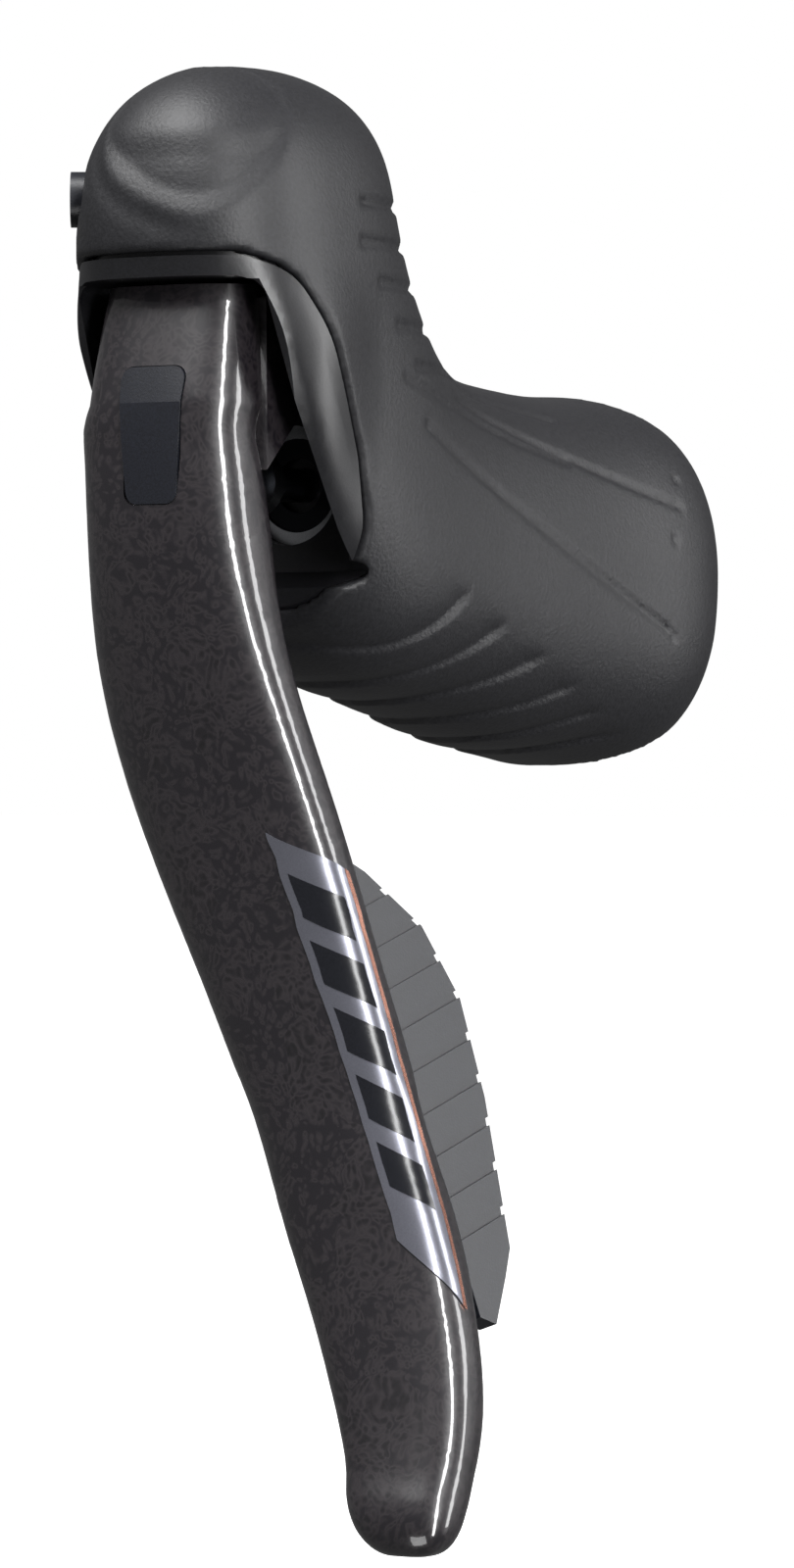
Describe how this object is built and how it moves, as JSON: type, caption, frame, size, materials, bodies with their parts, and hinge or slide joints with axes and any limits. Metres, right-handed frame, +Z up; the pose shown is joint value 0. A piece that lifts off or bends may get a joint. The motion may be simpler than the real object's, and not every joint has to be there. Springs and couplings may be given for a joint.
{
  "type": "brake shift lever",
  "caption": "Left-hand drop-bar brake and shift lever: rubber-hooded hydraulic body with a tall horn, long carbon brake blade and a ribbed shift paddle behind it.",
  "frame": {"origin": "on the handlebar's axis, at mid-height of the clamp band", "axes": "+Z up along the handlebar at the clamp, +X outboard (the rider's left), -Y forwards from the handlebar towards the blade"},
  "size_m": [0.0568, 0.1156, 0.1683],
  "materials": {
    "rubber_hood": "fine-grained matt",
    "housing_composite": "satin",
    "carbon_blade": "clear-coated forged carbon",
    "dark_plastic": "satin",
    "aluminium": "machined",
    "black_anodised": "anodised",
    "steel": "plated",
    "black_steel": "blackened",
    "brass": "turned",
    "seal_rubber": "smooth",
    "green_board": "solder mask",
    "clear_lens": "translucent",
    "acetal": "natural"
  },
  "bodies": {
    "lever_body": {"housing": "housing_composite", "hood_cover": "rubber_hood", "reservoir_cap": "dark_plastic", "reservoir_bladder": "seal_rubber", "cap_screws": "black_steel", "bleed_screw": "steel", "bleed_seal": "seal_rubber", "battery_door": "dark_plastic", "battery_seal": "seal_rubber", "coin_cell": "steel", "battery_contact": "brass", "circuit_board": "green_board", "radio_shield": "steel", "electronics_cover": "dark_plastic", "cover_screws": "black_steel", "status_light": "clear_lens", "function_switch": "dark_plastic", "aux_switch": "dark_plastic", "clamp_band": "steel", "clamp_nut": "steel", "clamp_bolt": "steel", "cylinder_sleeve": "aluminium", "piston_retainer": "black_steel", "piston_spring": "steel", "hose_nut": "black_anodised", "hose_olive": "brass", "pivot_pin": "steel", "pivot_clips": "black_steel", "lever_spring": "steel"},
    "brake_lever": {"lever_blade": "carbon_blade", "pivot_bushes": "acetal", "reach_cover": "dark_plastic", "paddle_pin": "steel", "shift_switch": "dark_plastic", "paddle_spring": "steel"},
    "reach_adjuster": {"reach_screw": "black_steel"},
    "paddle": {"shift_paddle": "dark_plastic"},
    "master_piston": {"piston": "acetal", "primary_seal": "seal_rubber", "secondary_seal": "seal_rubber", "pushrod": "steel"},
    "horn_button": {"aux_button": "dark_plastic"},
    "side_button": {"function_button": "dark_plastic"}
  },
  "joints": [
    {"name": "lever_pull", "type": "hinge", "parent": "lever_body", "child": "brake_lever", "pos_m": [0, -0.081, 0.0255], "axis": [1, 0, 0], "range_deg": [0, 16], "stiffness_Nm_per_rad": 0.76, "deforming": ["lever_spring"]},
    {"name": "piston_stroke", "type": "slide", "parent": "lever_body", "child": "master_piston", "axis": [0, 1, 0], "range_m": [0, 0.00464], "deforming": ["piston_spring"]},
    {"name": "reach_turn", "type": "hinge", "parent": "brake_lever", "child": "reach_adjuster", "pos_m": [0, -0.092, 0.00916], "axis": [0, 1, 0], "continuous": true},
    {"name": "paddle_click", "type": "hinge", "parent": "brake_lever", "child": "paddle", "pos_m": [0.01377, -0.0845, -0.06299], "axis": [-0.3314, 0, 0.9435], "range_deg": [0, 8], "stiffness_Nm_per_rad": 0.3, "deforming": ["paddle_spring"]},
    {"name": "horn_button_press", "type": "slide", "parent": "lever_body", "child": "horn_button", "axis": [0.843, 0.538, 0], "range_m": [0, 0.0008], "stiffness_N_per_m": 1500},
    {"name": "side_button_press", "type": "slide", "parent": "lever_body", "child": "side_button", "axis": [1, 0, 0], "range_m": [0, 0.0005], "stiffness_N_per_m": 1500}
  ],
  "couplings": [
    {"joint": "piston_stroke", "follows": "lever_pull", "m_per_rad": 0.016446}
  ]
}
